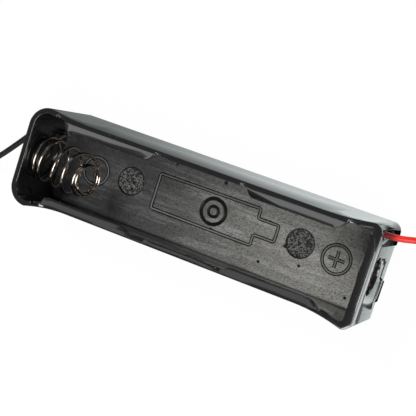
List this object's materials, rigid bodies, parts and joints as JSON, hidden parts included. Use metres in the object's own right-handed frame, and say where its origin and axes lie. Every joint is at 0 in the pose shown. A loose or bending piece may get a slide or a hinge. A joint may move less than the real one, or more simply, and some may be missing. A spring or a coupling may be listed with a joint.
{
  "type": "cylindrical cell holder",
  "caption": "Open moulded tray that snaps round a cylindrical cell, with a coil spring contact, a stamped button contact and a red and a black wire lead.",
  "frame": {"origin": "middle of the tray's flat base", "axes": "+X along the tray from the spring to the stamped contact, +Z out of the tray's open mouth"},
  "size_m": [0.1393, 0.0279, 0.0185],
  "materials": {
    "moulded_plastic": "semi-gloss black moulding",
    "spring_wire": "bright nickel plate",
    "contact_plate": "nickel plated strip",
    "tinned_wire": "tinned strands",
    "solder": "smooth solder",
    "red_insulation": "smooth flexible sleeve",
    "black_insulation": "smooth flexible sleeve"
  },
  "bodies": {
    "root": {"holder_body": "moulded_plastic", "positive_contact": "contact_plate", "negative_spring": "spring_wire", "red_lead": "red_insulation", "red_lead_coil": "red_insulation", "red_lead_tip": "tinned_wire", "black_lead": "black_insulation", "black_lead_coil": "black_insulation", "black_lead_tip": "tinned_wire", "red_strands": "tinned_wire", "black_strands": "tinned_wire", "positive_solder": "solder", "negative_solder": "solder"}
  },
  "joints": []
}
